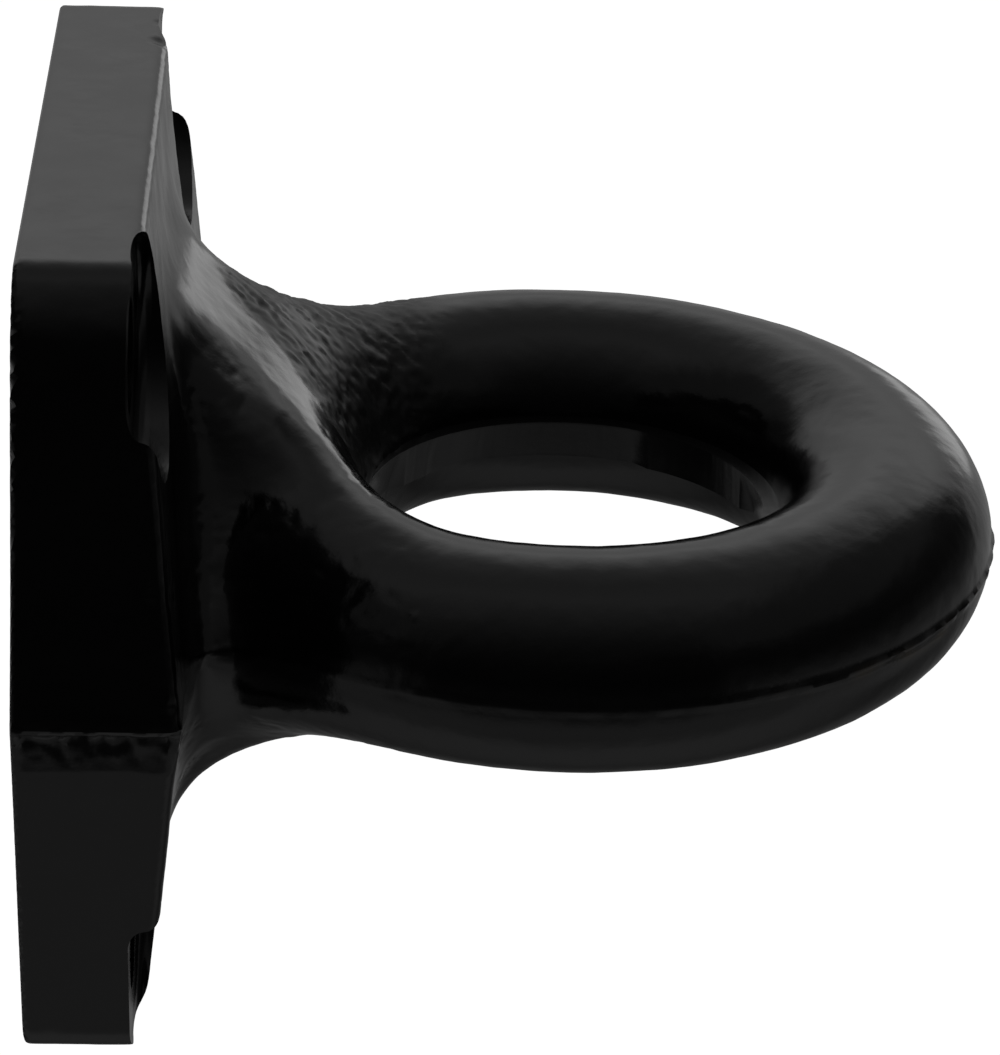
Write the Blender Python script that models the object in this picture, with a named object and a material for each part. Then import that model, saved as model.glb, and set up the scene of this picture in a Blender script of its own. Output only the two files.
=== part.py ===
"""Pintle drawbar mount: a one-piece forging with a four-bolt plate and a towing eye.

Frame: the origin is the centre of the plate's back face. +X runs from that face to the eye,
+Z runs up along the eye's axis, and the forging's parting plane is Z = 0. The unit is the metre.
"""
import math

import bmesh
import bpy
import numpy as np
from mathutils import Matrix, Vector

MM = 0.001

# Bolt pattern, which sets the size of the plate
BOLT_SPACING_ACROSS = 123.0 * MM
BOLT_SPACING_UP = 116.0 * MM
BOLT_HOLE_DIAMETER = 20.6 * MM
BOLT_TO_PLATE_END = 20.2 * MM
BOLT_TO_PLATE_SIDE = 14.6 * MM
SPOTFACE_DIAMETER = 44.4 * MM
SPOTFACE_CORNER_RADIUS = 3.0 * MM
SEAT_THICKNESS = 19.8 * MM

# Plate
PLATE_END_THICKNESS = 21.5 * MM
PLATE_FRONT_DRAFT = math.radians(6.13)
PLATE_SIDE_TAPER = math.radians(17.0)
FRONT_EDGE_RADIUS = 2.2 * MM
BACK_EDGE_RADIUS = 1.0 * MM

# Eye
BORE_TO_PLATE_BACK = 62.0 * MM
BORE_DIAMETER = 76.2 * MM
SECTION_DIAMETER = 41.0 * MM
LAND_DEPTH = 2.9 * MM
LAND_ABOVE_PARTING = 3.1 * MM
LAND_BELOW_PARTING = 4.9 * MM

# Gusset that carries the eye on the plate, alike above and below the parting plane
GUSSET_END_TO_BORE = 16.0 * MM
RAMP_HEIGHT_AT_PLATE = 55.5 * MM
RAMP_HEIGHT_AT_END = 27.4 * MM
RAMP_SAG = 0.42 * MM
RAMP_WIDTH = 34.4 * MM
FLANK_SLOPE = math.radians(24.7)
WALL_DRAFT = math.radians(22.8)
GUSSET_WIDTH_AT_PLATE = 97.9 * MM
GUSSET_WIDTH_AT_END = 85.0 * MM
GUSSET_EDGE_RADIUS = 3.0 * MM
GUSSET_END_RADIUS = 7.0 * MM
GUSSET_TO_EYE_FILLET = 34.0 * MM
GUSSET_TO_PLATE_FILLET = 6.0 * MM

# Fineness of the faces
SKIN_FACET = 4.4 * MM
SKIN_PASSES = 2
SETTLING_STEPS = 8
LEAST_STEEPNESS = 0.5
RING_STEPS = 48
RING_SIDES = 16
BORE_SIDES = 96
SPOTFACE_SIDES = 48
HOLE_SIDES = 32
EDGE_STEPS = 3
SHARP_ANGLE = math.radians(35)

# Small overlaps that keep one form's face off another's
ROOT_INSET = 4.0 * MM
ROOT_SINK = 0.25 * MM
CUT_MARGIN = 5.0 * MM
GRADIENT_STEP = 0.01 * MM

# Gloss black paint
PAINT_COLOUR = (0.012, 0.012, 0.013, 1)
PAINT_ROUGHNESS = 0.22

# Sizes that follow
BOLT_Y = BOLT_SPACING_ACROSS / 2
BOLT_Z = BOLT_SPACING_UP / 2
HALF_HEIGHT = BOLT_Z + BOLT_TO_PLATE_END
SECTION_RADIUS = SECTION_DIAMETER / 2
BORE_RADIUS = BORE_DIAMETER / 2
EYE_REACH = BORE_TO_PLATE_BACK + BORE_RADIUS
RING_RADIUS = BORE_RADIUS + LAND_DEPTH + SECTION_RADIUS
GUSSET_END_X = BORE_TO_PLATE_BACK - GUSSET_END_TO_BORE
HALF_RAMP = RAMP_WIDTH / 2
HALF_GUSSET_AT_PLATE = GUSSET_WIDTH_AT_PLATE / 2
HALF_GUSSET_AT_END = GUSSET_WIDTH_AT_END / 2


def half_width(z):
    """Half the plate's width at a height: widest at the parting plane, tapered to both ends."""
    return BOLT_Y + BOLT_TO_PLATE_SIDE + (BOLT_Z - abs(z)) * math.tan(PLATE_SIDE_TAPER)


def front_x(z):
    """Plate thickness at a height: thickest at the parting plane, drafted to both ends."""
    return PLATE_END_THICKNESS + (HALF_HEIGHT - abs(z)) * math.tan(PLATE_FRONT_DRAFT)


def smooth_union(a, b, radius):
    """Join two distance fields with a fillet."""
    overlap = np.maximum(radius - np.abs(a - b), 0.0) / radius
    return np.minimum(a, b) - overlap * overlap * radius / 4


def smooth_intersection(a, b, radius):
    """Keep what two distance fields share, with a rounded edge."""
    return -smooth_union(-a, -b, radius)


def ring_field(p):
    """Distance to the eye's round bar, bent into a circle about the eye's axis."""
    from_axis = np.hypot(p[:, 0] - EYE_REACH, p[:, 1])
    return np.hypot(from_axis - RING_RADIUS, p[:, 2]) - SECTION_RADIUS


def gusset_reach(x):
    """How far along the gusset a place is, from 0 at the plate to 1 at the gusset's end."""
    plate_x = front_x(RAMP_HEIGHT_AT_PLATE)
    return np.maximum((x - plate_x) / (GUSSET_END_X - plate_x), 0.0)


def gusset_field(p):
    """Distance to the gusset: a sloping ramp, a flank on each side of it and drafted walls."""
    x, y, z = p[:, 0], np.abs(p[:, 1]), np.abs(p[:, 2])
    along = gusset_reach(x)
    fall = RAMP_HEIGHT_AT_PLATE - RAMP_HEIGHT_AT_END
    over_ramp = z - RAMP_HEIGHT_AT_PLATE + fall * along + 4 * RAMP_SAG * along * (1 - along)
    past_edge = (y - HALF_RAMP) * math.tan(FLANK_SLOPE)
    slope = fall / (GUSSET_END_X - front_x(RAMP_HEIGHT_AT_PLATE))
    flank = (over_ramp + past_edge) / math.hypot(1, slope, math.tan(FLANK_SLOPE))
    top = smooth_intersection(over_ramp / math.hypot(1, slope), flank, GUSSET_EDGE_RADIUS)
    foot = HALF_GUSSET_AT_PLATE + (HALF_GUSSET_AT_END - HALF_GUSSET_AT_PLATE) * along
    past_wall = (y - foot) * math.cos(WALL_DRAFT) + z * math.sin(WALL_DRAFT)
    body = smooth_intersection(top, past_wall, GUSSET_EDGE_RADIUS)
    return smooth_intersection(body, x - GUSSET_END_X, GUSSET_END_RADIUS)


def root_field(p):
    """Distance to the gusset's root, a block just inside the plate."""
    x, y, z = p[:, 0], np.abs(p[:, 1]), np.abs(p[:, 2])
    over_front = (x - front_x(z) + ROOT_SINK) * math.cos(PLATE_FRONT_DRAFT)
    past_side = (y - half_width(z) + ROOT_INSET) * math.cos(PLATE_SIDE_TAPER)
    past_end = z - HALF_HEIGHT + ROOT_INSET
    return np.maximum(np.maximum(over_front, past_side), past_end)


def skin_field(p):
    """Distance to the whole rough forging in front of the plate's back."""
    eye = smooth_union(ring_field(p), gusset_field(p), GUSSET_TO_EYE_FILLET)
    joined = smooth_union(eye, root_field(p), GUSSET_TO_PLATE_FILLET)
    return np.maximum(joined, ROOT_INSET - p[:, 0])


def settle(mesh):
    """Move each vertex along the field's gradient until it lies on the forged skin."""
    points = np.empty(len(mesh.vertices) * 3, dtype=np.float32)
    mesh.vertices.foreach_get("co", points)
    points = points.reshape(-1, 3).astype(float)
    for _ in range(SETTLING_STEPS):
        gradient = np.empty_like(points)
        for axis in range(3):
            step = np.zeros(3)
            step[axis] = GRADIENT_STEP
            rise = skin_field(points + step) - skin_field(points - step)
            gradient[:, axis] = rise / (2 * GRADIENT_STEP)
        steepness = np.maximum((gradient ** 2).sum(axis=1), LEAST_STEEPNESS ** 2)
        points -= gradient * (skin_field(points) / steepness)[:, None]
    mesh.vertices.foreach_set("co", points.astype(np.float32).ravel())
    mesh.update()


def drop_specks(mesh):
    """Remove the tiny closed bubbles that remeshing leaves beside the main shell."""
    bm = bmesh.new()
    bm.from_mesh(mesh)
    shells = []
    left = set(bm.verts)
    while left:
        shell = set()
        front = [left.pop()]
        while front:
            vert = front.pop()
            shell.add(vert)
            for edge in vert.link_edges:
                other = edge.other_vert(vert)
                if other in left:
                    left.remove(other)
                    front.append(other)
        shells.append(shell)
    main_shell = max(shells, key=len)
    specks = [v for v in bm.verts if v not in main_shell]
    bmesh.ops.delete(bm, geom=specks, context="VERTS")
    bm.to_mesh(mesh)
    bm.free()


def new_object(name, bm):
    """Turn a bmesh into a linked object with its faces pointing out."""
    bmesh.ops.recalc_face_normals(bm, faces=bm.faces)
    mesh = bpy.data.meshes.new(name)
    bm.to_mesh(mesh)
    bm.free()
    obj = bpy.data.objects.new(name, mesh)
    bpy.context.scene.collection.objects.link(obj)
    return obj


def helper(obj):
    """Mark an object as a cutter or guide that isn't a piece."""
    obj.hide_render = True
    obj.display_type = "WIRE"
    return obj


def boolean(target, operation, tool):
    """Add one exact Boolean to an object's stack."""
    modifier = target.modifiers.new(f"{operation.lower()} {tool.name}", "BOOLEAN")
    modifier.operation = operation
    modifier.solver = "EXACT"
    modifier.object = helper(tool)


def plate_outline(inset=0.0):
    """Corners of the six-sided plate, in order round the X axis."""
    top = HALF_HEIGHT - inset
    end = half_width(top) - inset
    middle = half_width(0) - inset
    return [(end, top), (middle, 0), (end, -top), (-end, -top), (-middle, 0), (-end, top)]


def plate_solid(name, back, sink=0.0, inset=0.0):
    """A six-sided plate with a flat back and a front that rises to a ridge at the parting plane."""
    bm = bmesh.new()
    outline = plate_outline(inset)
    rear = [bm.verts.new((back, y, z)) for y, z in outline]
    front = [bm.verts.new((front_x(z) - sink, y, z)) for y, z in outline]
    bm.faces.new(rear)
    bm.faces.new((front[5], front[4], front[1], front[0]))
    bm.faces.new((front[4], front[3], front[2], front[1]))
    for i in range(6):
        j = (i + 1) % 6
        bm.faces.new((rear[i], rear[j], front[j], front[i]))
    return new_object(name, bm)


def round_plate_edges(plate):
    """Round the plate's back edge finely and its front and side edges more."""
    bm = bmesh.new()
    bm.from_mesh(plate.data)
    parting = [e for e in bm.edges if all(v.co.z == 0 for v in e.verts)]
    back = [e for e in bm.edges if all(v.co.x == 0 for v in e.verts)]
    front = [e for e in bm.edges if e not in back and e not in parting]
    bmesh.ops.bevel(bm, geom=front, offset=FRONT_EDGE_RADIUS, segments=EDGE_STEPS, profile=0.5,
                    affect="EDGES")
    back = [e for e in back if e.is_valid]
    bmesh.ops.bevel(bm, geom=back, offset=BACK_EDGE_RADIUS, segments=EDGE_STEPS, profile=0.5,
                    affect="EDGES")
    bm.to_mesh(plate.data)
    bm.free()


def ring_block(bm):
    """Rough form of the eye's bar."""
    loops = []
    for i in range(RING_STEPS):
        turn = 2 * math.pi * i / RING_STEPS
        loop = []
        for k in range(RING_SIDES):
            angle = 2 * math.pi * k / RING_SIDES
            radius = RING_RADIUS + SECTION_RADIUS * math.cos(angle)
            height = SECTION_RADIUS * math.sin(angle)
            place = (EYE_REACH + radius * math.cos(turn), radius * math.sin(turn), height)
            loop.append(bm.verts.new(place))
        loops.append(loop)
    for i in range(RING_STEPS):
        this, after = loops[i], loops[(i + 1) % RING_STEPS]
        for k in range(RING_SIDES):
            j = (k + 1) % RING_SIDES
            bm.faces.new((this[k], after[k], after[j], this[j]))


def gusset_section(half_foot, height):
    """Corners of a quarter of the gusset's section: ramp's end, flank's end and wall's foot."""
    draft, slope = math.tan(WALL_DRAFT), math.tan(FLANK_SLOPE)
    wall = (half_foot - draft * (height + HALF_RAMP * slope)) / (1 - draft * slope)
    return [(HALF_RAMP, height), (wall, height - (wall - HALF_RAMP) * slope), (half_foot, 0.0)]


def gusset_block(bm):
    """Rough form of the gusset: the hull of its section at the plate and at its end."""
    corners = []
    for side in (1, -1):
        for up in (1, -1):
            for y, z in gusset_section(HALF_GUSSET_AT_PLATE, RAMP_HEIGHT_AT_PLATE):
                corners += [(ROOT_INSET, side * y, up * z), (front_x(z), side * y, up * z)]
            for y, z in gusset_section(HALF_GUSSET_AT_END, RAMP_HEIGHT_AT_END):
                corners.append((GUSSET_END_X, side * y, up * z))
    verts = [bm.verts.new(c) for c in sorted(set(corners))]
    hull = bmesh.ops.convex_hull(bm, input=verts)
    inner = [part for part in hull["geom_interior"] if isinstance(part, bmesh.types.BMVert)]
    bmesh.ops.delete(bm, geom=inner, context="VERTS")


def forged_skin():
    """Eye, gusset and root as one form, remeshed evenly and settled on the blended skin."""
    bm = bmesh.new()
    ring_block(bm)
    gusset_block(bm)
    rough = new_object("eye_and_gusset_form", bm)
    root = plate_solid("gusset_root_form", ROOT_INSET, ROOT_SINK, ROOT_INSET)
    bm = bmesh.new()
    bm.from_mesh(rough.data)
    bm.from_mesh(root.data)
    bm.to_mesh(rough.data)
    bm.free()
    bpy.data.objects.remove(root)
    for _ in range(SKIN_PASSES):
        remesh = rough.modifiers.new("even faces", "REMESH")
        remesh.mode = "VOXEL"
        remesh.voxel_size = SKIN_FACET
        depsgraph = bpy.context.evaluated_depsgraph_get()
        even = bpy.data.meshes.new_from_object(rough.evaluated_get(depsgraph))
        rough.modifiers.clear()
        drop_specks(even)
        settle(even)
        rough.data = even
    return rough


TURN_Z_TO_X = Matrix.Rotation(math.pi / 2, 3, "Y")


def disc(name, radius, low, high, sides, axis_x=False):
    """A closed cylinder from one height to another, along Z or along X."""
    bm = bmesh.new()
    bmesh.ops.create_cone(bm, cap_ends=True, segments=sides, radius1=radius, radius2=radius,
                          depth=high - low)
    bmesh.ops.translate(bm, verts=bm.verts, vec=(0, 0, (low + high) / 2))
    if axis_x:
        bmesh.ops.rotate(bm, verts=bm.verts, cent=(0, 0, 0), matrix=TURN_Z_TO_X)
    return new_object(name, bm)


def spotface_cutter(name):
    """The tool that leaves a flat bolt seat with a small radius in its corner."""
    cutter = disc(name, SPOTFACE_DIAMETER / 2, SEAT_THICKNESS, EYE_REACH, SPOTFACE_SIDES, axis_x=True)
    bm = bmesh.new()
    bm.from_mesh(cutter.data)
    rim = [e for e in bm.edges if all(abs(v.co.x - SEAT_THICKNESS) < GRADIENT_STEP for v in e.verts)]
    bmesh.ops.bevel(bm, geom=rim, offset=SPOTFACE_CORNER_RADIUS, segments=EDGE_STEPS, profile=0.5,
                    affect="EDGES")
    bm.to_mesh(cutter.data)
    bm.free()
    return cutter


def black_paint():
    """Gloss black paint over forged steel."""
    material = bpy.data.materials.new("gloss_black_paint")
    material.use_nodes = True
    shader = material.node_tree.nodes["Principled BSDF"]
    shader.inputs["Base Color"].default_value = PAINT_COLOUR
    shader.inputs["Roughness"].default_value = PAINT_ROUGHNESS
    return material


def drawbar_forging():
    """The whole part: plate, gusset and eye joined, then punched, spotfaced and drilled."""
    forging = plate_solid("drawbar_forging", 0.0)
    round_plate_edges(forging)
    boolean(forging, "UNION", forged_skin())
    land = disc("bore_land_form", RING_RADIUS, -LAND_BELOW_PARTING, LAND_ABOVE_PARTING, BORE_SIDES)
    land.location.x = EYE_REACH
    boolean(forging, "UNION", land)
    reach = RAMP_HEIGHT_AT_PLATE
    bore = disc("bore_cutter", BORE_RADIUS, -reach, reach, BORE_SIDES)
    bore.location.x = EYE_REACH
    boolean(forging, "DIFFERENCE", bore)
    for side, across in (("near", -1), ("far", 1)):
        for end, up in (("upper", 1), ("lower", -1)):
            spot = spotface_cutter(f"spotface_cutter_{end}_{side}")
            hole = disc(f"bolt_hole_cutter_{end}_{side}", BOLT_HOLE_DIAMETER / 2, -CUT_MARGIN,
                        EYE_REACH, HOLE_SIDES, axis_x=True)
            for tool in (spot, hole):
                tool.location = Vector((0, across * BOLT_Y, up * BOLT_Z))
                boolean(forging, "DIFFERENCE", tool)
    forging.data.materials.append(black_paint())
    forging.data.shade_smooth()
    forging.data.set_sharp_from_angle(angle=SHARP_ANGLE)
    return forging


def main():
    """Clear the scene and build the part."""
    for obj in list(bpy.data.objects):
        bpy.data.objects.remove(obj)
    drawbar_forging()


main()
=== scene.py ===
import math

import bmesh
import bpy
import numpy as np
from bpy.props import FloatProperty, FloatVectorProperty, PointerProperty
from mathutils import Matrix, Vector


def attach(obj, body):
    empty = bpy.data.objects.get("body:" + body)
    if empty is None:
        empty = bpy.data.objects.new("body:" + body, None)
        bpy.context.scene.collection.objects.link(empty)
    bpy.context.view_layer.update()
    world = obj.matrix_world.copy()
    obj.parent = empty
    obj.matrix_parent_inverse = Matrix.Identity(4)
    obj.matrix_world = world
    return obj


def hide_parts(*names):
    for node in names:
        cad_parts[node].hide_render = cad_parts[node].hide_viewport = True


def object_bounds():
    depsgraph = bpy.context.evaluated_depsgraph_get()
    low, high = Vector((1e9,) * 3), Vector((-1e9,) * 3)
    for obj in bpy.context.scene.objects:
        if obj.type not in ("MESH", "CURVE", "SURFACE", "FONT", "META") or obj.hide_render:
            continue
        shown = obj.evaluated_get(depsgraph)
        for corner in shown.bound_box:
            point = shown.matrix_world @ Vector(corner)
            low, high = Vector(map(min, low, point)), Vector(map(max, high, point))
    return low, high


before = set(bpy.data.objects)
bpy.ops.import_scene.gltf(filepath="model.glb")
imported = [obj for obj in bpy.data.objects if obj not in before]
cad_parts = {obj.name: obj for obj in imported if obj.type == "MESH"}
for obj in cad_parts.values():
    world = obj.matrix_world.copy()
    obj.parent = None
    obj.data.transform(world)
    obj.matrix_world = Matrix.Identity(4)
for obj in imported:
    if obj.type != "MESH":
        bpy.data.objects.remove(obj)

bl_info = {
    "name": "Pintle Drawbar Mount",
    "version": (1, 0, 0),
    "blender": (4, 5, 0),
    "location": "View3D > Sidebar > Drawbar",
    "description": "Builds a forged, gloss black pintle drawbar mount and the studio it stands in",
    "category": "Add Mesh",
}

CAD_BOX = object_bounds()
MM = 0.001


def length(name, description, value, **limits):
    """A length property in metres, written in millimetres."""
    return FloatProperty(name=name, description=description, default=value * MM, unit="LENGTH",
                         precision=5, **limits)


def angle(name, description, value):
    """An angle property, written in degrees."""
    return FloatProperty(name=name, description=description, default=math.radians(value),
                         subtype="ANGLE")


class ForgingSizes(bpy.types.PropertyGroup):
    """Sizes of the forging. Most are the CAD model's, and the rest shape what only the scene shows."""
    bolt_across: length("Bolts across", "Spacing of the bolt holes across the plate", 123.0)
    bolt_up: length("Bolts up", "Spacing of the bolt holes up the plate", 116.0)
    bolt_hole: length("Bolt hole", "Diameter of the bolt holes", 20.6)
    half_height: length("Half height", "Height of the plate above the parting plane", 78.2)
    end_fall: length("End fall", "Height over which the sides fall away to the plate's ends", 11.0)
    end_lean: angle("End lean", "How far the sides lean in at the plate's ends", 43.0)
    lower_swell: length("Lower swell", "How far the lower sides stand out at the plate's end", 2.0)
    front_swell: length("Front swell", "How far the plate's front stands out toward its ends", 0.5)
    end_half_width: length("Half width", "Half the plate's width at a bolt's height", 76.1)
    side_taper: angle("Side taper", "Slope of the plate's sides", 17.0)
    end_thickness: length("End thickness", "Thickness of the plate at its ends", 21.5)
    front_draft: angle("Front draft", "Slope of the plate's front", 6.13)
    front_edge: length("Front edge", "Width of the rounding on the plate's front and sides", 2.8)
    lower_edge: length("Lower edge", "Width of the rounding on the plate's lower end", 7.0)
    back_edge: length("Back edge", "Width of the rounding on the plate's back edge", 1.2)
    seat: length("Seat", "Height of the bolt seats over the plate's back", 19.8)
    seat_diameter: length("Seat diameter", "Diameter of the spotfaces", 44.4)
    seat_corner: length("Seat corner", "Radius in the corner of a spotface", 3.0)
    eye_reach: length("Eye reach", "Distance from the plate's back to the eye's axis", 100.1)
    bore: length("Bore", "Diameter of the eye's bore", 76.2)
    bar: length("Bar", "Diameter of the eye's round bar", 41.0)
    land_depth: length("Land depth", "How far the sheared land stands in from the bar", 2.9)
    land_above: length("Land above", "Top of the land over the parting plane", 3.1)
    land_below: length("Land below", "Foot of the land under the parting plane", 4.9)
    ramp_at_plate: length("Ramp at plate", "Height of the gusset's ramp at the plate", 55.5)
    ramp_at_end: length("Ramp at end", "Height of the gusset's ramp at the gusset's end", 27.4)
    ramp_sag: length("Ramp sag", "How far the ramp sags between its ends", 0.42)
    ramp_width: length("Ramp width", "Width of the ramp", 34.4)
    near_flare: length("Near flare", "How far the ramp's near edge flares out toward the eye", 6.0)
    flank_slope: angle("Flank slope", "Slope of the flanks beside the ramp", 24.7)
    wall_draft: angle("Wall draft", "Draft of the gusset's side walls", 22.8)
    width_at_plate: length("Width at plate", "Width of the gusset's foot at the plate", 97.9)
    width_at_end: length("Width at end", "Width of the gusset's foot at its end", 85.0)
    end_to_bore: length("End to bore", "Distance from the gusset's end to the bore", 16.0)
    ramp_edge: length("Ramp edge", "Width of the rounding along the ramp's edges", 1.4)
    gusset_edge: length("Gusset edge", "Width of the rounding along the gusset's edges", 3.0)
    gusset_end: length("Gusset end", "Width of the rounding at the gusset's end", 7.0)
    eye_fillet: length("Eye fillet", "Width of the fillet between gusset and eye", 34.0)
    plate_fillet: length("Plate fillet", "Width of the fillet between gusset and plate", 6.0)
    side_narrowing: FloatProperty(name="Side narrowing", default=0.5, min=0.0, max=0.9,
                                  description="How much narrower the eye fillet is on the near wall")
    side_fillet: length("Side fillet", "Width of the fillet between the gusset's sides and the plate", 13.0)
    facet: length("Facet", "Size of the faces of the forged skin", 0.8, min=0.0003)


class FinishSettings(bpy.types.PropertyGroup):
    """The paint and the marks that forging and trimming leave under it."""
    paint_colour: FloatVectorProperty(name="Paint colour", description="Colour of the paint",
                                      default=(0.0032, 0.0031, 0.0033), subtype="COLOR", size=3,
                                      min=0.0, max=1.0)
    # Brownish tint mixed into the paint along the trimmed flash at the eye's tip
    flash_tint_colour: FloatVectorProperty(name="Rust colour", description="Colour where the paint is thin",
                                     default=(0.05, 0.034, 0.012), subtype="COLOR", size=3,
                                     min=0.0, max=1.0)
    paint_roughness: FloatProperty(name="Paint roughness", description="Roughness of the paint",
                                   default=0.16, min=0.0, max=1.0)
    swell: length("Swell", "Height of the long waves that the dies leave", 0.10)
    pitting: length("Pitting", "Depth of the scale pits in the gusset", 0.16)
    ripples: length("Ripples", "Height of the ripples of scale on the far flank", 0.42)
    scale_dullness: FloatProperty(name="Scale dullness", default=0.26, min=0.0, max=0.6,
                                  description="Roughness that the paint gains over scale")
    speckle: length("Speckle", "Height of the scale in the plate's fillet", 0.2)
    peel: length("Peel", "Height of the fine waves in the paint", 0.05)
    trim_ridge: length("Trim ridge", "Height of the trimmed flash round the forging", 0.75)
    torn_depth: length("Torn depth", "Depth of the torn band that trimming leaves", 1.5)
    shear_marks: length("Shear marks", "Depth of the shear marks in the bore", 0.10)
    shear_dullness: FloatProperty(name="Shear dullness", default=0.08, min=0.0, max=0.5,
                                  description="Roughness that the paint gains over the sheared bore")


class StageSettings(bpy.types.PropertyGroup):
    """The camera and the studio."""
    azimuth: angle("Azimuth", "Direction that the camera stands in", -2.168)
    elevation: angle("Elevation", "Height angle of the camera", 24.903)
    roll: angle("Roll", "Roll of the camera", 1.825)
    distance: FloatProperty(name="Distance", description="Distance from the camera to its target",
                            default=0.92020, unit="LENGTH")
    target: FloatVectorProperty(name="Target", description="Point that the camera looks at",
                                default=(0.08784, 0.0, -0.00256), subtype="XYZ", size=3, precision=5)
    lens: FloatProperty(name="Lens", description="Focal length on a 36 mm frame",
                        default=163.07, unit="CAMERA")
    floor_colour: FloatVectorProperty(name="Floor colour", description="Colour of the floor",
                                      default=(0.8, 0.8, 0.8), subtype="COLOR", size=3,
                                      min=0.0, max=1.0)
    floor_fill: FloatProperty(name="Floor fill", default=0.9, min=0.0, max=1.0,
                              description="Light of the floor itself to the camera, up to white")
    floor_drop: FloatProperty(name="Floor drop", description="Distance of the floor under the part",
                              default=0.35, unit="LENGTH")
    floor_size: FloatProperty(name="Floor size", description="Width of the floor", default=9.0,
                              unit="LENGTH")


def smooth_union(a, b, width):
    """Join two distance fields with a fillet."""
    overlap = np.maximum(width - np.abs(a - b), 0.0) / width
    return np.minimum(a, b) - overlap * overlap * width / 4


def smooth_intersection(a, b, width):
    """Keep what two distance fields share, with a rounded edge."""
    return -smooth_union(-a, -b, width)


def blend(low, high, value):
    """A smooth step from 0 below low to 1 above high."""
    t = np.clip((value - low) / (high - low), 0.0, 1.0)
    return t * t * (3 - 2 * t)


def bump(centre, width, value):
    """A smooth hump of height 1 about a centre."""
    return 1 - blend(0.0, width, np.abs(value - centre))


def noise(p, size, seed):
    """Smooth noise from -1 to 1, the same on every run. Size is one number or one for each axis."""
    q = p / np.asarray(size) + 100.0 + seed * 17.31
    cell = np.floor(q).astype(np.int64)
    t = q - cell
    ease = t * t * t * (t * (t * 6 - 15) + 10)
    total = np.zeros(len(p))
    for corner in range(8):
        step = np.array([corner & 1, corner >> 1 & 1, corner >> 2 & 1])
        c = cell + step
        key = c[:, 0] * 73856093 ^ c[:, 1] * 19349663 ^ c[:, 2] * 83492791 ^ seed * 2654435761
        key = (key ^ key >> 13) * 1274126177 & 0x7FFFFFFF
        key = (key ^ key >> 15) & 0xFFFFFF
        turn = key * (2 * math.pi / 0x1000000)
        lift = (key * 7919 & 0xFFFFFF) / 0x800000 - 1.0
        flat = np.sqrt(np.maximum(1 - lift * lift, 0.0))
        away = t - step
        slope = away[:, 0] * flat * np.cos(turn) + away[:, 1] * flat * np.sin(turn) + away[:, 2] * lift
        weight = np.where(step, ease, 1 - ease).prod(axis=1)
        total += slope * weight
    return total * 1.5


# Where the fillets on the near wall change width, by distance from the plate's back, by distance
# from the middle toward the camera and by height over the parting plane
NEAR_WALL_OUT = (68 * MM, 34 * MM)
NEAR_WALL_TOWARD_CAMERA = (27 * MM, 46 * MM)
NEAR_WALL_UP = (-4 * MM, 12 * MM)
NEAR_FOOT_TOWARD_CAMERA = (30 * MM, 44 * MM)
# Distances from the plate's back over which the ramp's near edge flares, first fast and then slowly
FLARE_FAST = (37 * MM, 46 * MM)
FLARE_SLOW = (46 * MM, 60 * MM)


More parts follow.
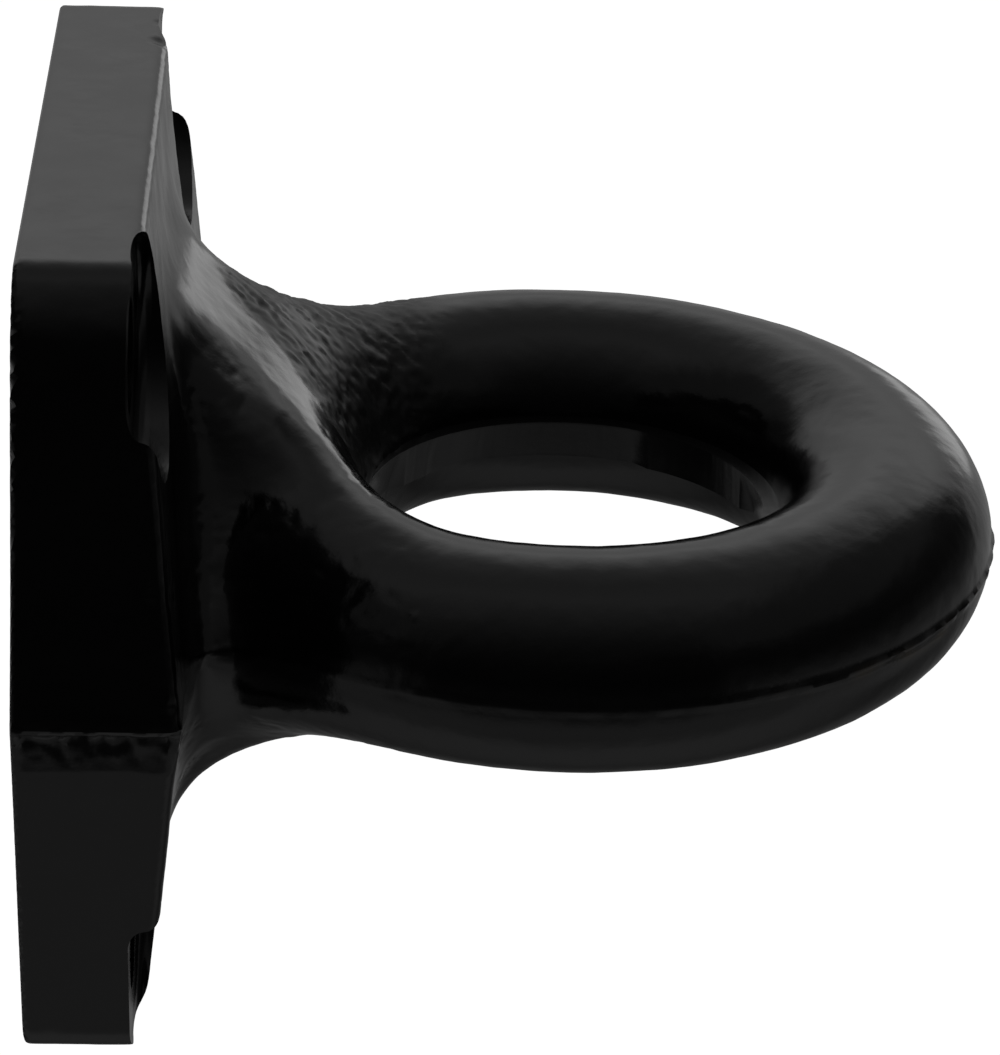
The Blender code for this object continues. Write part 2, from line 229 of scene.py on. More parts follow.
class Forging:
    """The forging as one distance field, built from the sizes."""

    def __init__(self, sizes):
        self.s = sizes
        self.bore_radius = sizes.bore / 2
        self.bar_radius = sizes.bar / 2
        self.ring_radius = self.bore_radius + sizes.land_depth + self.bar_radius
        self.gusset_end = sizes.eye_reach - self.bore_radius - sizes.end_to_bore
        self.bolt_y = sizes.bolt_across / 2
        self.bolt_z = sizes.bolt_up / 2
        self.ramp_start = self.front_x(sizes.ramp_at_plate)

    def front_x(self, z):
        """Plate thickness at a height."""
        return self.s.end_thickness + (self.s.half_height - abs(z)) * math.tan(self.s.front_draft)

    def half_width(self, z):
        """Half the plate's width at a height."""
        return self.s.end_half_width + (self.bolt_z - abs(z)) * math.tan(self.s.side_taper)

    def ring(self, p):
        """Distance to the eye's round bar."""
        from_axis = np.hypot(p[:, 0] - self.s.eye_reach, p[:, 1])
        return np.hypot(from_axis - self.ring_radius, p[:, 2]) - self.bar_radius

    def plate(self, p):
        """Distance to the plate, with its edges rounded."""
        s = self.s
        x, y, z = p[:, 0], np.abs(p[:, 1]), np.abs(p[:, 2])
        over_front = (x - self.front_x(z)) * math.cos(s.front_draft)
        past_side = (y - self.half_width(z)) * math.cos(s.side_taper)
        # The upper sides swell and then lean in to the end, the lower sides taper less
        shoulder = s.half_height - s.end_fall
        leaning = np.maximum(z - shoulder, 0.0) ** 2 * math.tan(s.end_lean) / (2 * s.end_fall)
        swollen = s.end_fall * math.tan(s.end_lean) / 2 * blend(0.2 * shoulder, shoulder, z)
        past_side = past_side + np.where(p[:, 2] > 0, leaning - swollen,
                                         -s.lower_swell * blend(0.1 * shoulder, s.half_height, z))
        over_front = over_front - s.front_swell * blend(0.2 * shoulder, 0.7 * shoulder, z)
        end_edge = np.where(p[:, 2] > 0, s.front_edge, s.lower_edge)
        rim = smooth_intersection(past_side, z - s.half_height, end_edge)
        block = smooth_intersection(over_front, rim, s.front_edge)
        return smooth_intersection(block, -x, s.back_edge)

    def gusset(self, p):
        """Distance to the gusset: a sloping ramp, a flank on each side of it and drafted walls."""
        s = self.s
        x, y, z = p[:, 0], np.abs(p[:, 1]), np.abs(p[:, 2])
        run = self.gusset_end - self.ramp_start
        along = np.maximum((x - self.ramp_start) / run, 0.0)
        fall = s.ramp_at_plate - s.ramp_at_end
        over_ramp = z - s.ramp_at_plate + fall * along + 4 * s.ramp_sag * along * (1 - along)
        flared = s.near_flare * (blend(*FLARE_FAST, x) + 0.6 * blend(*FLARE_SLOW, x))
        half_ramp = s.ramp_width / 2 + np.where((p[:, 1] < 0) & (p[:, 2] > 0), flared, 0.0)
        past_edge = (y - half_ramp) * math.tan(s.flank_slope)
        flank = (over_ramp + past_edge) / math.hypot(1, fall / run, math.tan(s.flank_slope))
        top = smooth_intersection(over_ramp / math.hypot(1, fall / run), flank, s.ramp_edge)
        foot = (s.width_at_plate + (s.width_at_end - s.width_at_plate) * along) / 2
        past_wall = (y - foot) * math.cos(s.wall_draft) + z * math.sin(s.wall_draft)
        body = smooth_intersection(top, past_wall, s.gusset_edge)
        return smooth_intersection(body, x - self.gusset_end, s.gusset_end)

    def skin(self, p):
        """Distance to the whole forging before it is punched, spotfaced and drilled."""
        s = self.s
        x, near, z = p[:, 0], -p[:, 1], p[:, 2]
        trimmed = blend(*NEAR_WALL_TOWARD_CAMERA, near) * blend(*NEAR_WALL_OUT, x) * blend(*NEAR_WALL_UP, z)
        eye = smooth_union(self.ring(p), self.gusset(p), s.eye_fillet * (1 - s.side_narrowing * trimmed))
        foot = s.plate_fillet + (s.side_fillet - s.plate_fillet) * blend(*NEAR_FOOT_TOWARD_CAMERA, near)
        return np.maximum(smooth_union(eye, self.plate(p), foot), -x)

    def normal(self, p):
        """The field's gradient at each point."""
        step = 0.01 * MM
        gradient = np.empty_like(p)
        for axis in range(3):
            offset = np.zeros(3)
            offset[axis] = step
            gradient[:, axis] = (self.skin(p + offset) - self.skin(p - offset)) / (2 * step)
        return gradient

    def settle(self, p, passes):
        """Move points along the gradient until they lie on the skin."""
        for _ in range(passes):
            gradient = self.normal(p)
            steepness = np.maximum((gradient ** 2).sum(axis=1), 0.25)
            p = p - gradient * (self.skin(p) / steepness)[:, None]
        return p


def points_of(mesh):
    """A mesh's vertices as an array."""
    points = np.empty(len(mesh.vertices) * 3, dtype=np.float32)
    mesh.vertices.foreach_get("co", points)
    return points.reshape(-1, 3).astype(float)


def move_points(mesh, points):
    """Put a mesh's vertices at new places."""
    mesh.vertices.foreach_set("co", points.astype(np.float32).ravel())
    mesh.update()


def new_object(name, bm):
    """Turn a bmesh into a linked object with its faces pointing out."""
    bmesh.ops.recalc_face_normals(bm, faces=bm.faces)
    mesh = bpy.data.meshes.new(name)
    bm.to_mesh(mesh)
    bm.free()
    obj = bpy.data.objects.new(name, mesh)
    bpy.context.scene.collection.objects.link(obj)
    return obj


def applied(obj):
    """The object's mesh with its modifiers applied."""
    depsgraph = bpy.context.evaluated_depsgraph_get()
    mesh = bpy.data.meshes.new_from_object(obj.evaluated_get(depsgraph))
    obj.modifiers.clear()
    return mesh


def drop_specks(mesh):
    """Remove the tiny closed bubbles that remeshing leaves beside the main shell."""
    edges = np.empty(len(mesh.edges) * 2, dtype=np.int64)
    mesh.edges.foreach_get("vertices", edges)
    edges = edges.reshape(-1, 2)
    group = np.arange(len(mesh.vertices))
    while True:
        lowest = np.minimum(group[edges[:, 0]], group[edges[:, 1]])
        after = group.copy()
        np.minimum.at(after, edges[:, 0], lowest)
        np.minimum.at(after, edges[:, 1], lowest)
        after = after[after]
        if (after == group).all():
            break
        group = after
    names, counts = np.unique(group, return_counts=True)
    main_shell = names[counts.argmax()]
    spare = np.nonzero(group != main_shell)[0]
    if len(spare) == 0:
        return
    bm = bmesh.new()
    bm.from_mesh(mesh)
    bm.verts.ensure_lookup_table()
    bmesh.ops.delete(bm, geom=[bm.verts[i] for i in spare], context="VERTS")
    bm.to_mesh(mesh)
    bm.free()


def rough_form(forging):
    """Plate, gusset and bar as simple overlapping solids for the remesh to join."""
    s = forging.s
    bm = bmesh.new()

    def hull(corners):
        verts = [bm.verts.new(c) for c in sorted(corners)]
        made = bmesh.ops.convex_hull(bm, input=verts)
        inner = [part for part in made["geom_interior"] if isinstance(part, bmesh.types.BMVert)]
        bmesh.ops.delete(bm, geom=inner, context="VERTS")

    plate, gusset = set(), set()
    for side in (1, -1):
        for z in (-s.half_height, 0.0, s.half_height):
            width = side * forging.half_width(z)
            plate |= {(0.0, width, z), (forging.front_x(z), width, z)}
        for up in (1, -1):
            for y, z in ((s.ramp_width / 2, s.ramp_at_plate), (s.width_at_plate / 2, 0.0)):
                gusset |= {(s.end_thickness / 2, side * y, up * z), (forging.ramp_start, side * y, up * z)}
            for y, z in ((s.ramp_width / 2, s.ramp_at_end), (s.width_at_end / 2, 0.0)):
                gusset.add((forging.gusset_end, side * y, up * z))
    hull(plate)
    hull(gusset)
    steps, sides = 96, 24
    loops = []
    for i in range(steps):
        turn = 2 * math.pi * i / steps
        loop = []
        for k in range(sides):
            a = 2 * math.pi * k / sides
            radius = forging.ring_radius + forging.bar_radius * math.cos(a)
            loop.append(bm.verts.new((s.eye_reach + radius * math.cos(turn), radius * math.sin(turn),
                                      forging.bar_radius * math.sin(a))))
        loops.append(loop)
    for i in range(steps):
        this, after = loops[i], loops[(i + 1) % steps]
        for k in range(sides):
            j = (k + 1) % sides
            bm.faces.new((this[k], after[k], after[j], this[j]))
    return new_object("rough_form", bm)


def forged_skin(forging):
    """The forging's skin as one fine, even mesh."""
    rough = rough_form(forging)
    for facet in (forging.s.facet * 2, forging.s.facet):
        remesh = rough.modifiers.new("even faces", "REMESH")
        remesh.mode = "VOXEL"
        remesh.voxel_size = facet
        mesh = applied(rough)
        drop_specks(mesh)
        move_points(mesh, forging.settle(points_of(mesh), 4))
        rough.data = mesh
    return rough


# Nicks: a place on the skin, a radius and a depth, in millimetres
NICKS = [((26.0, -84.0, 22.0), 3.4, 0.6), ((24.4, -86.6, 23.5), 1.6, 0.4), ((27.6, -76.5, 18.6), 2.0, 0.5),
         ((22.8, -74.7, 62.7), 1.5, 0.4), ((21.4, -74.9, 61.8), 1.4, 0.3), ((28.3, -92.3, 4.9), 1.6, 0.4),
         ((20.6, 48.2, 78.2), 3.0, 0.6), ((20.6, 59.0, 78.2), 2.4, 0.5), ((20.9, -76.3, -57.3), 2.2, 0.5),
         ((52.9, -67.2, 3.9), 1.3, -0.25), ((70.2, -71.5, 12.9), 1.3, -0.25)]


def far_scale(p):
    """How much scale lies on the flank away from the camera, from 0 to 1."""
    x, z = p[:, 0], p[:, 2]
    slanted = np.clip(1.2 * (x - 40 * MM), -8 * MM, 16 * MM)
    beyond_edge = p[:, 1] + slanted + 2.5 * MM * noise(p, 8 * MM, 40)
    along = blend(30 * MM, 37 * MM, x) * blend(82 * MM, 68 * MM, x)
    return blend(3 * MM, 7 * MM, beyond_edge) * along * blend(0.0, 6 * MM, z)


def forging_marks(forging, finish, p):
    """How far each point of the skin stands off the dies' clean shape."""
    s = forging.s
    x, y, z = p[:, 0], p[:, 1], p[:, 2]
    on_front = blend(0.0, 2.0 * MM, x)
    waves = noise(p, 16 * MM, 1) + 0.45 * noise(p, 7 * MM, 2) + 0.12 * noise(p, 2.6 * MM, 3)
    height = finish.swell * waves
    height += finish.peel * (noise(p, 5 * MM, 31) + 0.6 * noise(p, 2.4 * MM, 32))
    # Scale pits where the gusset meets the eye and the plate
    neck = blend(24 * MM, 30 * MM, x) * blend(86 * MM, 60 * MM, x)
    off_ramp = blend(15 * MM, 19 * MM, np.abs(y))
    pits = noise(p, (2.6 * MM, 5.2 * MM, 2.6 * MM), 5) + 0.6 * noise(p, (1.5 * MM, 2.6 * MM, 1.5 * MM), 6)
    patches = blend(-0.35, 0.4, noise(p, 15 * MM, 7))
    height -= finish.pitting * neck * off_ramp * patches * np.maximum(pits, -0.2)
    # Ripples of scale that run down the far flank
    flank = np.stack([(x - z) / 5.0, y / 2.4, (x + z) / 3.0], 1)
    rippled = noise(flank, MM, 41) + 0.6 * noise(flank * 2.1, MM, 42)
    height += finish.ripples * far_scale(p) * rippled * (0.6 + 0.4 * blend(-0.3, 0.3, noise(p, 9 * MM, 43)))
    # Coarse scale in the fillet between the gusset's sides and the plate
    gap = x - forging.front_x(z)
    in_fillet = bump(3.5 * MM, 5.5 * MM, gap) * blend(26 * MM, 34 * MM, np.abs(y))
    grains = noise(p, 1.7 * MM, 44) + 0.5 * noise(p, 1.0 * MM, 45)
    height += finish.speckle * in_fillet * grains * blend(-0.2, 0.5, noise(p, 12 * MM, 46))
    # Torn band under the parting plane on the plate's sides
    on_side = blend(2.0 * MM, 0.8 * MM, forging.half_width(z) - np.abs(y)) * blend(0.5 * MM, 2 * MM, x)
    under = -z + 0.5 * MM * noise(p, (9 * MM, 30 * MM, 30 * MM), 47)
    recess = np.clip(under / (2.0 * MM), 0, 1) * np.clip((9 * MM - under) / (7.0 * MM), 0, 1)
    lean = np.stack([x + 0.35 * z, y, z], 1)
    tears = noise(lean, (1.9 * MM, 4 * MM, 6 * MM), 48)
    tears += 0.5 * noise(lean, (1.2 * MM, 3 * MM, 2.4 * MM), 49)
    height -= finish.torn_depth * on_side * recess * (1 + 0.5 * tears)
    # Dents and nicks from the hammer and from handling
    for centre, radius, depth in NICKS:
        away = np.linalg.norm(p - np.array(centre) * MM, axis=1)
        height -= depth * MM * bump(0.0, radius * MM, away)
    # Trimmed flash round the outside at the parting plane
    from_axis = np.hypot(x - s.eye_reach, y)
    outside = blend(forging.ring_radius, forging.ring_radius + 4 * MM, from_axis)
    wander = 0.25 * MM * noise(np.stack([x, y, 0 * z], 1), 18 * MM, 8)
    ridge = bump(0.0, 1.2 * MM, z - wander)
    ragged = 0.75 + 0.5 * noise(p, 4 * MM, 9)
    toward_tip = 0.3 + 0.7 * blend(s.eye_reach, s.eye_reach + forging.ring_radius, x)
    height += finish.trim_ridge * outside * ridge * ragged * toward_tip
    return height * on_front


def revolve(name, profile, steps, depth=None):
    """A closed solid turned about Z from an outline of (radius, height), its skin moved in by depth."""
    bm = bmesh.new()
    loops = []
    for i in range(steps):
        turn = 2 * math.pi * i / steps
        loops.append([bm.verts.new((r * math.cos(turn), r * math.sin(turn), h)) for r, h in profile])
    count = len(profile)
    for i in range(steps):
        this, after = loops[i], loops[(i + 1) % steps]
        for k in range(count - 1):
            bm.faces.new((this[k], after[k], after[k + 1], this[k + 1]))
    bm.faces.new([loop[0] for loop in loops])
    bm.faces.new([loop[-1] for loop in loops])
    obj = new_object(name, bm)
    if depth is not None:
        points = points_of(obj.data)
        radius = np.hypot(points[:, 0], points[:, 1])
        scale = 1 + depth(points) / np.maximum(radius, 1e-6)
        points[:, :2] *= scale[:, None]
        move_points(obj.data, points)
    return obj


# How far the sheared land leans open, in degrees, at angles round the bore from the tip
LAND_LEAN = [(0, 16), (20, 15), (24, 3), (62, 2), (68, 13), (72, 11), (108, 13), (112, 16), (128, 15),
             (132, 6), (142, 5), (148, 15), (180, 16)]


def bore_punch(forging, finish):
    """The punch that shears the bore, with the marks that it leaves."""
    s = forging.s
    r = forging.bore_radius

    def marks(p):
        turn = np.arctan2(p[:, 1], p[:, 0])
        around = np.stack([turn * r, 0 * turn, p[:, 2] * 0.06], 1)
        facets = noise(around, 14 * MM, 21)
        lines = noise(around, 1.7 * MM, 22) + 0.6 * noise(around, 0.8 * MM, 23)
        patchy = 0.35 + 0.65 * blend(-0.3, 0.4, noise(around, 20 * MM, 24))
        lean = np.interp(np.degrees(np.abs(turn)), *zip(*LAND_LEAN))
        under = np.clip(s.land_above - p[:, 2], 0.0, s.land_above + s.land_below)
        opened = under * np.tan(np.radians(lean))
        return opened + finish.shear_marks * (0.6 * facets + 0.45 * lines * patchy)

    high = s.ramp_at_plate
    heights = [-high] + [k * 0.5 * MM for k in range(-48, 49)] + [high]
    punch = revolve("bore_punch", [(r, h) for h in heights], 720, marks)
    punch.location.x = s.eye_reach
    return punch


def land_ring(forging):
    """The land that the punch leaves standing in from the bar, before it is punched."""
    s = forging.s
    crest = forging.ring_radius
    profile = [(crest, -s.land_below), (forging.bore_radius - 2 * MM, -s.land_below),
               (forging.bore_radius - 2 * MM, s.land_above), (crest, s.land_above)]
    bm = bmesh.new()
    loops = []
    steps = 360
    for i in range(steps):
        turn = 2 * math.pi * i / steps
        loops.append([bm.verts.new((r * math.cos(turn), r * math.sin(turn), h)) for r, h in profile])
    for i in range(steps):
        this, after = loops[i], loops[(i + 1) % steps]
        for k in range(4):
            j = (k + 1) % 4
            bm.faces.new((this[k], after[k], after[j], this[j]))
    land = new_object("land_ring", bm)
    land.location.x = s.eye_reach
    return land


def bolt_cutters(forging):
    """The spotfacing and drilling tools at the four corners."""
    s = forging.s
    radius, corner = s.seat_diameter / 2, s.seat_corner
    arc = [math.radians(a) for a in range(0, 91, 10)]
    seat = [(radius - corner + corner * math.sin(a), s.seat + corner * (1 - math.cos(a))) for a in arc]
    spot_profile = seat + [(radius, s.eye_reach)]
    hole = s.bolt_hole / 2
    hole_profile = [(hole + 1 * MM, -1 * MM), (hole + 1 * MM, -0.001 * MM), (hole, 0.9 * MM),
                    (hole, s.eye_reach)]
    made = []
    for across in (-1, 1):
        for up in (-1, 1):
            for kind, profile in (("spotface", spot_profile), ("bolt_hole", hole_profile)):
                tool = revolve(f"{kind}_{across}_{up}", profile, 160)
                tool.matrix_world = (Matrix.Translation((0, across * forging.bolt_y, up * forging.bolt_z))
                                     @ Matrix.Rotation(math.pi / 2, 4, "Y"))
                made.append(tool)
    return made


def cut(target, operation, tool):
    """Join or cut one solid with another and drop the tool."""
    modifier = target.modifiers.new(operation, "BOOLEAN")
    modifier.operation = operation
    modifier.solver = "MANIFOLD"
    modifier.object = tool
    bpy.context.view_layer.update()
    target.data = applied(target)
    bpy.data.objects.remove(tool)


def masks(forging, finish, mesh):
    """Store how much duller the paint is at each place, and where a brownish tint lies along the trimmed
    flash at the eye's tip.
    """
    s = forging.s
    p = points_of(mesh)
    from_axis = np.hypot(p[:, 0] - s.eye_reach, p[:, 1])
    sheared = blend(forging.bore_radius + 2.4 * MM, forging.bore_radius + 2.0 * MM, from_axis)
    sheared = sheared * blend(s.land_above + 0.3 * MM, s.land_above, p[:, 2])
    dullness = np.maximum(finish.scale_dullness * far_scale(p), finish.shear_dullness * sheared)
    at_tip = blend(0.3, 0.75, (p[:, 0] - s.eye_reach) / np.maximum(from_axis, MM))
    outside = blend(forging.ring_radius + 8 * MM, forging.ring_radius + 14 * MM, from_axis)
    # A brownish tint along the trimmed flash near the parting plane at the eye's tip
    tinted = at_tip * outside * bump(-1.2 * MM, 2.4 * MM, p[:, 2]) * blend(-0.3, 0.3, noise(p, 7 * MM, 51))
    for name, values in (("dullness", dullness), ("flash_tint", tinted)):
        attribute = mesh.attributes.new(name, "FLOAT", "POINT")
        attribute.data.foreach_set("value", values.astype(np.float32))


def gloss_paint(finish):
    """Gloss black paint over forged steel, with its orange peel and dust."""
    material = bpy.data.materials.new("gloss_black_paint")
    material.use_nodes = True
    tree = material.node_tree
    shader = tree.nodes["Principled BSDF"]
    shader.inputs["IOR"].default_value = 1.5
    place = tree.nodes.new("ShaderNodeTexCoord")

    def texture(scale, detail):
        node = tree.nodes.new("ShaderNodeTexNoise")
        node.inputs["Scale"].default_value = scale
        node.inputs["Detail"].default_value = detail
        tree.links.new(place.outputs["Object"], node.inputs["Vector"])
        return node.outputs["Fac"]

    def ranged(value, low, high):
        node = tree.nodes.new("ShaderNodeMapRange")
        node.inputs["From Min"].default_value = 0.35
        node.inputs["From Max"].default_value = 0.65
        node.inputs["To Min"].default_value = low
        node.inputs["To Max"].default_value = high
        tree.links.new(value, node.inputs["Value"])
        return node.outputs["Result"]

    rough = ranged(texture(90, 3), finish.paint_roughness * 0.8, finish.paint_roughness * 1.25)
    dullness = tree.nodes.new("ShaderNodeAttribute")
    dullness.attribute_name = "dullness"
    duller = tree.nodes.new("ShaderNodeMath")
    tree.links.new(dullness.outputs["Fac"], duller.inputs[0])
    tree.links.new(rough, duller.inputs[1])
    tree.links.new(duller.outputs["Value"], shader.inputs["Roughness"])
    # The brownish tint along the trimmed flash at the tip, mixed into the paint's colour
    tinted = tree.nodes.new("ShaderNodeAttribute")
    tinted.attribute_name = "flash_tint"
    colour = tree.nodes.new("ShaderNodeMix")
    colour.data_type = "RGBA"
    colour.inputs["A"].default_value = (*finish.paint_colour, 1)
    colour.inputs["B"].default_value = (*finish.flash_tint_colour, 1)
    tree.links.new(tinted.outputs["Fac"], colour.inputs["Factor"])
    tree.links.new(colour.outputs["Result"], shader.inputs["Base Color"])
    peel = tree.nodes.new("ShaderNodeBump")
    peel.inputs["Strength"].default_value = 0.25
    peel.inputs["Distance"].default_value = 0.15 * MM
    tree.links.new(texture(420, 2), peel.inputs["Height"])
    grain = tree.nodes.new("ShaderNodeBump")
    grain.inputs["Strength"].default_value = 0.12
    grain.inputs["Distance"].default_value = 0.08 * MM
    tree.links.new(texture(1600, 2), grain.inputs["Height"])
    tree.links.new(peel.outputs["Normal"], grain.inputs["Normal"])
    tree.links.new(grain.outputs["Normal"], shader.inputs["Normal"])
    return material


class DRAWBAR_OT_forging(bpy.types.Operator):
    """Build the forging: skin, forging marks, bore, spotfaces, bolt holes and paint."""
    bl_idname = "drawbar.forging"
    bl_label = "Forging"

    def execute(self, context):
        sizes, finish = context.scene.drawbar_sizes, context.scene.drawbar_finish
        forging = Forging(sizes)
        body = forged_skin(forging)
        body.name = body.data.name = "forged_body"
        points = points_of(body.data)
        normals = forging.normal(points)
        normals /= np.linalg.norm(normals, axis=1)[:, None]
        marks = forging_marks(forging, finish, points)
        move_points(body.data, points + normals * marks[:, None])
        cut(body, "UNION", land_ring(forging))
        cut(body, "DIFFERENCE", bore_punch(forging, finish))
        for tool in bolt_cutters(forging):
            cut(body, "DIFFERENCE", tool)
        masks(forging, finish, body.data)
        body.data.materials.clear()
        body.data.materials.append(gloss_paint(finish))
        body.data.shade_smooth()
        body.data.set_sharp_from_angle(angle=math.radians(40))
        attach(body, "root")
        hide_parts("drawbar_forging")
        return {"FINISHED"}


# Brightness of the studio by angle, from the floor's front over the camera side and the top to the back
STUDIO_LEVELS = [(-180, 0.34), (-168, 0.24), (-155, 0.22), (-142, 0.07), (-117, 0.05), (-100, 0.12),
                 (-80, 0.2), (-66, 0.15), (-58, 0.18), (-49, 0.18), (-38, 0.09), (-30, 0.03), (0, 0.01),
                 (20, 0.02), (33, 0.04), (45, 0.07), (60, 0.12), (75, 0.19), (88, 0.25), (106, 0.2),
                 (125, 0.24), (133, 0.32), (144, 0.54), (151, 0.58), (158, 0.62), (162, 0.43),
                 (172, 0.34), (180, 0.34)]
# Brightness of the studio's sides by the height of the direction, from straight down to straight up
SIDE_LEVELS = [(-1, 0.2), (-0.73, 0.2), (-0.33, 0.15), (-0.1, 0.05), (0.1, 0.02), (0.3, 0.03),
               (0.45, 0.09), (0.75, 0.1), (1, 0.24)]
# How far aside the studio's sides begin and are full, and how much nearer that is for each step up
SIDES_BEGIN, SIDES_FULL, SIDES_SLANT = 0.55, 0.73, 0.15
# Bright card behind the part to the right: direction, radius of its core and rim, brightness
BACK_CARD = ((0.37, 0.93, -0.02), 0.12, 0.19, 0.6)


def studio_world():
    """A studio that is bright behind the part, dim over and beside it and dark round the camera."""
    world = bpy.data.worlds.new("studio")
    bpy.context.scene.world = world
    world.use_nodes = True
    tree = world.node_tree
    tree.nodes.clear()
    add = tree.nodes.new
    link = tree.links.new

    def math_node(operation, first, second=None):
        node = add("ShaderNodeMath")
        node.operation = operation
        link(first, node.inputs[0])
        if isinstance(second, (int, float)):
            node.inputs[1].default_value = second
        elif second is not None:
            link(second, node.inputs[1])
        return node.outputs["Value"]

    def levels(fraction, stops, low, high):
        node = add("ShaderNodeValToRGB")
        link(fraction, node.inputs["Fac"])
        ramp = node.color_ramp
        for stop, (_, level) in zip(ramp.elements, (stops[0], stops[-1])):
            stop.color = (level, level, level, 1)
        ramp.elements[1].position = 1.0
        for place, level in stops[1:-1]:
            ramp.elements.new((place - low) / (high - low)).color = (level, level, level, 1)
        return node.outputs["Color"]

    place = add("ShaderNodeTexCoord")
    split = add("ShaderNodeSeparateXYZ")
    link(place.outputs["Generated"], split.inputs["Vector"])
    toward = math_node("MULTIPLY", split.outputs["Y"], -1)
    turn = math_node("ARCTAN2", split.outputs["Z"], toward)
    half_turns = math_node("DIVIDE", turn, 2 * math.pi)
    middle = levels(math_node("ADD", half_turns, 0.5), STUDIO_LEVELS, -180, 180)
    raised = math_node("MULTIPLY", split.outputs["Z"], SIDES_SLANT)
    aside = math_node("ADD", math_node("ABSOLUTE", split.outputs["X"]), raised)
    from_below = math_node("ADD", split.outputs["Z"], 1.0)
    sides = levels(math_node("MULTIPLY", from_below, 0.5), SIDE_LEVELS, -1, 1)
    edge = add("ShaderNodeMapRange")
    edge.interpolation_type = "SMOOTHSTEP"
    edge.inputs["From Min"].default_value = SIDES_BEGIN
    edge.inputs["From Max"].default_value = SIDES_FULL
    link(aside, edge.inputs["Value"])
    join = add("ShaderNodeMix")
    join.data_type = "RGBA"
    link(edge.outputs["Result"], join.inputs["Factor"])
    link(middle, join.inputs["A"])
    link(sides, join.inputs["B"])
    direction, core, rim, brightness = BACK_CARD
    away = add("ShaderNodeVectorMath")
    away.operation = "DISTANCE"
    link(place.outputs["Generated"], away.inputs[0])
    away.inputs[1].default_value = Vector(direction).normalized()
    card = add("ShaderNodeMapRange")
    card.interpolation_type = "SMOOTHSTEP"
    card.inputs["From Min"].default_value = core
    card.inputs["From Max"].default_value = rim
    card.inputs["To Min"].default_value = brightness
    card.inputs["To Max"].default_value = 0.0
    link(away.outputs["Value"], card.inputs["Value"])
    lit = add("ShaderNodeVectorMath")
    link(join.outputs["Result"], lit.inputs[0])
    link(card.outputs["Result"], lit.inputs[1])
    studio = add("ShaderNodeBackground")
    link(lit.outputs["Vector"], studio.inputs["Color"])
    white = add("ShaderNodeBackground")
    white.inputs["Color"].default_value = (1, 1, 1, 1)
    path = add("ShaderNodeLightPath")
    seen = math_node("MAXIMUM", path.outputs["Is Camera Ray"], path.outputs["Is Transmission Ray"])
    mix = add("ShaderNodeMixShader")
    link(seen, mix.inputs["Fac"])
    link(studio.outputs["Background"], mix.inputs[1])
    link(white.outputs["Background"], mix.inputs[2])
    output = add("ShaderNodeOutputWorld")
    link(mix.outputs["Shader"], output.inputs["Surface"])


def pale_floor(stage):
    """A wide pale floor well under the part, just white to the camera where no shadow falls."""
    half = stage.floor_size / 2
    low = CAD_BOX[0][2] - stage.floor_drop
    bm = bmesh.new()
    bm.faces.new([bm.verts.new(c) for c in ((-half, -half, low), (half, -half, low),
                                            (half, half, low), (-half, half, low))])
    floor = new_object("floor", bm)
    material = bpy.data.materials.new("pale_floor")
    material.use_nodes = True
    tree = material.node_tree
    shader = tree.nodes["Principled BSDF"]
    shader.inputs["Base Color"].default_value = (*stage.floor_colour, 1)
    shader.inputs["Roughness"].default_value = 0.7
    fill = tree.nodes.new("ShaderNodeEmission")
    path = tree.nodes.new("ShaderNodeLightPath")
    seen = tree.nodes.new("ShaderNodeMath")
    seen.operation = "MULTIPLY"
    seen.inputs[1].default_value = stage.floor_fill
    tree.links.new(path.outputs["Is Camera Ray"], seen.inputs[0])
    tree.links.new(seen.outputs["Value"], fill.inputs["Strength"])
    both = tree.nodes.new("ShaderNodeAddShader")
    tree.links.new(shader.outputs["BSDF"], both.inputs[0])
    tree.links.new(fill.outputs["Emission"], both.inputs[1])
    output = tree.nodes["Material Output"]
    tree.links.new(both.outputs["Shader"], output.inputs["Surface"])
    floor.data.materials.append(material)
    floor.visible_glossy = False


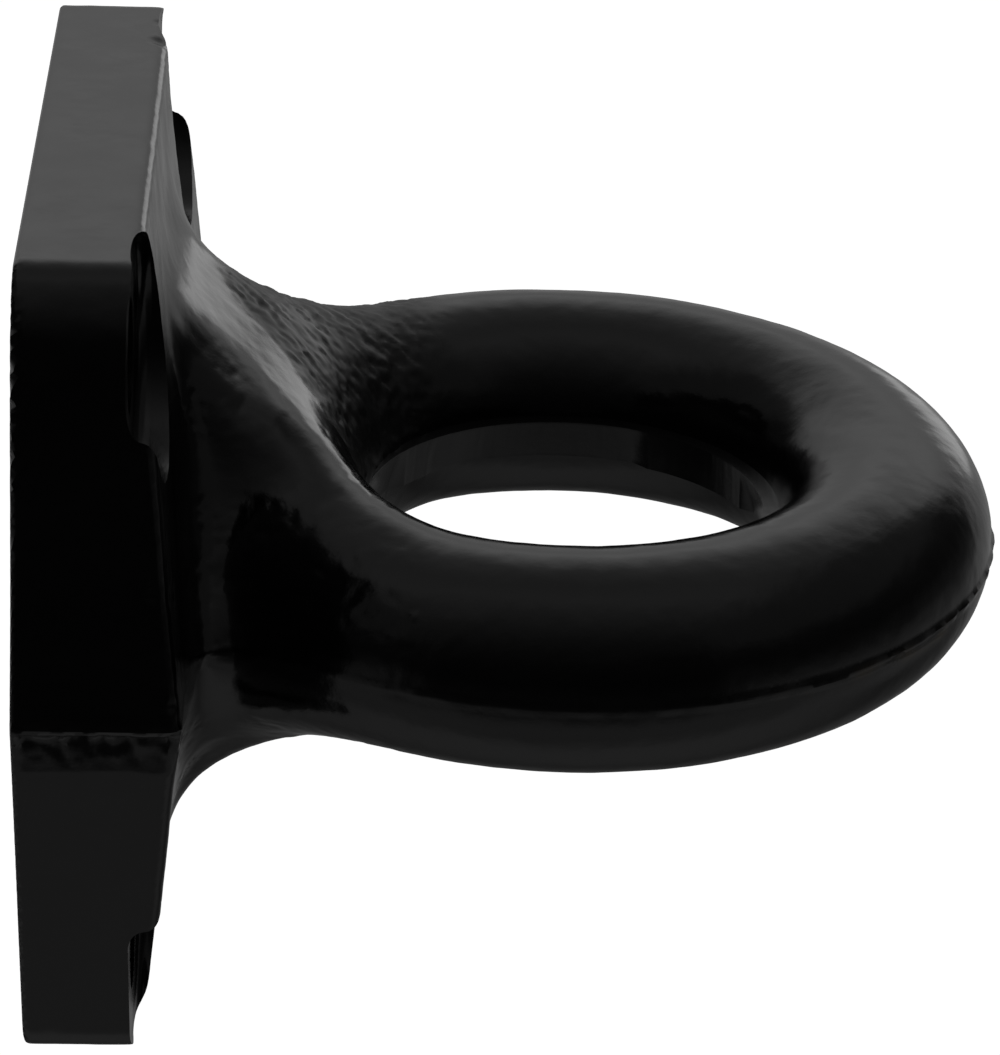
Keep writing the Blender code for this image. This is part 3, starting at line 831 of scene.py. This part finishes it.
def camera(stage):
    """The camera at the photograph's viewing angle."""
    a, e, roll = stage.azimuth, stage.elevation, stage.roll
    back = Vector((math.sin(a) * math.cos(e), -math.cos(a) * math.cos(e), math.sin(e)))
    right = (-back).cross(Vector((0, 0, 1))).normalized()
    up = right.cross(-back)
    turned_right = math.cos(roll) * right + math.sin(roll) * up
    turned_up = math.cos(roll) * up - math.sin(roll) * right
    data = bpy.data.cameras.new("camera")
    data.sensor_fit = "AUTO"
    data.sensor_width = 36.0
    data.lens = stage.lens
    cam = bpy.data.objects.new("camera", data)
    bpy.context.scene.collection.objects.link(cam)
    matrix = Matrix((turned_right, turned_up, back)).transposed().to_4x4()
    matrix.translation = Vector(stage.target) + back * stage.distance
    cam.matrix_world = matrix
    bpy.context.scene.camera = cam


class DRAWBAR_OT_stage(bpy.types.Operator):
    """Set the camera, the floor and the studio light."""
    bl_idname = "drawbar.stage"
    bl_label = "Stage"

    def execute(self, context):
        stage = context.scene.drawbar_stage
        camera(stage)
        pale_floor(stage)
        studio_world()
        context.scene.view_settings.view_transform = "Standard"
        return {"FINISHED"}


class DRAWBAR_PT_panel(bpy.types.Panel):
    """The drawbar mount's sizes, finish and stage."""
    bl_idname = "DRAWBAR_PT_panel"
    bl_label = "Drawbar Mount"
    bl_space_type = "VIEW_3D"
    bl_region_type = "UI"
    bl_category = "Drawbar"

    def draw(self, context):
        layout = self.layout
        for group, operator in ((context.scene.drawbar_sizes, None),
                                (context.scene.drawbar_finish, "drawbar.forging"),
                                (context.scene.drawbar_stage, "drawbar.stage")):
            column = layout.box().column()
            for name in group.__annotations__:
                column.prop(group, name)
            if operator:
                column.operator(operator)


GROUPS = {"drawbar_sizes": ForgingSizes, "drawbar_finish": FinishSettings, "drawbar_stage": StageSettings}
CLASSES = (*GROUPS.values(), DRAWBAR_OT_forging, DRAWBAR_OT_stage, DRAWBAR_PT_panel)


def register():
    """Add the classes and their settings to Blender."""
    for made in CLASSES:
        bpy.utils.register_class(made)
    for name, group in GROUPS.items():
        setattr(bpy.types.Scene, name, PointerProperty(type=group))


def unregister():
    """Take the classes and their settings out of Blender."""
    for name in GROUPS:
        delattr(bpy.types.Scene, name)
    for made in reversed(CLASSES):
        bpy.utils.unregister_class(made)


def main():
    """Build the part and its stage."""
    register()
    bpy.ops.drawbar.forging()
    bpy.ops.drawbar.stage()


if __name__ == "__main__":
    main()
